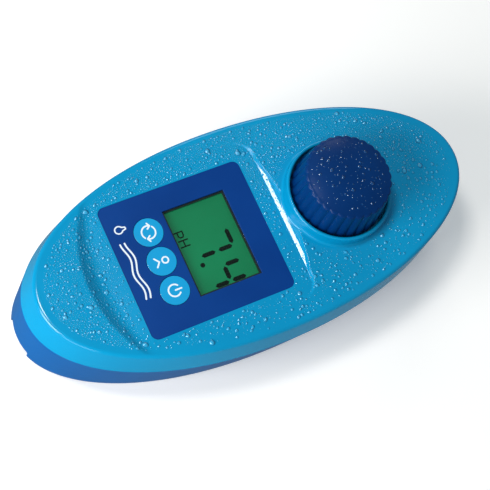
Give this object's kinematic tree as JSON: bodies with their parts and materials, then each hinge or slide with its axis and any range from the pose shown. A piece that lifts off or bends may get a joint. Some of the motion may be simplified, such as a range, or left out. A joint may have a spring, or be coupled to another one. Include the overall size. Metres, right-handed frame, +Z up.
{
  "type": "digital water tester",
  "caption": "Hand-held photometer for pool water: oval two-part casing, recessed display with keypad, and a capped sample cell.",
  "frame": {"origin": "middle of the casing's length and width, on the surface it stands on", "axes": "+X from the user's end towards the cap end, +Y to the left of the display as the user faces +X, +Z up"},
  "size_m": [0.145, 0.068, 0.047],
  "materials": {
    "cyan_shell": "glossy",
    "blue_shell": "semi-gloss",
    "navy_overlay": "satin film",
    "cyan_key": "satin film",
    "navy_cap": "glossy",
    "black_plastic": "matte",
    "black_rubber": "matte",
    "pink_rubber": "matte",
    "steel": "plain",
    "nickel_plate": "satin",
    "battery_sleeve": "printed film, plain",
    "red_wire": "plain",
    "black_wire": "plain",
    "grey_wire": "plain",
    "spacer_film": "plain",
    "flex_circuit": "plain",
    "clear_window": "clear",
    "lcd_green": "satin",
    "backlight_green": "plain",
    "circuit_board": "solder mask",
    "chip_black": "matte",
    "chip_brown": "plain",
    "clear_cell": "clear",
    "led_clear": "clear",
    "filter_glass": "coated"
  },
  "bodies": {
    "casing": {"upper_shell": "cyan_shell", "lower_shell": "blue_shell", "case_seal": "black_rubber", "case_screws": "steel", "battery_cover": "blue_shell", "battery_cover_seal": "black_rubber", "battery_cover_screws": "steel", "battery_holder": "black_plastic", "battery_left": "battery_sleeve", "battery_right": "battery_sleeve", "battery_springs": "steel", "battery_contacts": "nickel_plate", "battery_lead_red": "red_wire", "battery_lead_black": "black_wire", "keypad_overlay": "navy_overlay", "keypad_spacer": "spacer_film", "keypad_circuit": "flex_circuit", "key_domes": "steel", "display_window": "clear_window", "lcd_glass": "lcd_green", "lcd_backlight": "backlight_green", "lcd_frame": "black_plastic", "zebra_strips": "pink_rubber", "main_board": "circuit_board", "board_screws": "steel", "microcontroller": "chip_black", "board_components": "chip_brown", "beeper": "chip_black", "sample_cell": "clear_cell", "cell_seal": "black_rubber", "led_holder": "black_plastic", "measuring_leds": "led_clear", "light_filters": "filter_glass", "led_board": "circuit_board", "detector_holder": "black_plastic", "photodiode": "nickel_plate", "detector_board": "circuit_board", "led_cable": "grey_wire", "detector_cable": "grey_wire"},
    "key_mode": {"key_mode": "cyan_key"},
    "key_zero": {"key_zero": "cyan_key"},
    "key_power": {"key_power": "cyan_key"},
    "cap_ring": {"cap_seal": "black_rubber"},
    "cap": {"cap_shell": "navy_cap", "cap_plug": "black_plastic"}
  },
  "joints": [
    {"name": "key_mode_press", "type": "slide", "parent": "casing", "child": "key_mode", "axis": [0.0506, 0, -0.9987], "range_m": [0, 0.0003], "stiffness_N_per_m": 2000},
    {"name": "key_zero_press", "type": "slide", "parent": "casing", "child": "key_zero", "axis": [0.0506, 0, -0.9987], "range_m": [0, 0.0003], "stiffness_N_per_m": 2000},
    {"name": "key_power_press", "type": "slide", "parent": "casing", "child": "key_power", "axis": [0.0506, 0, -0.9987], "range_m": [0, 0.0003], "stiffness_N_per_m": 2000},
    {"name": "cap_lift", "type": "slide", "parent": "casing", "child": "cap_ring", "axis": [0, 0, 1], "range_m": [0, 0.04]},
    {"name": "cap_turn", "type": "hinge", "parent": "cap_ring", "child": "cap", "pos_m": [0.029, 0, 0.0354], "axis": [0, 0, 1], "continuous": true}
  ]
}
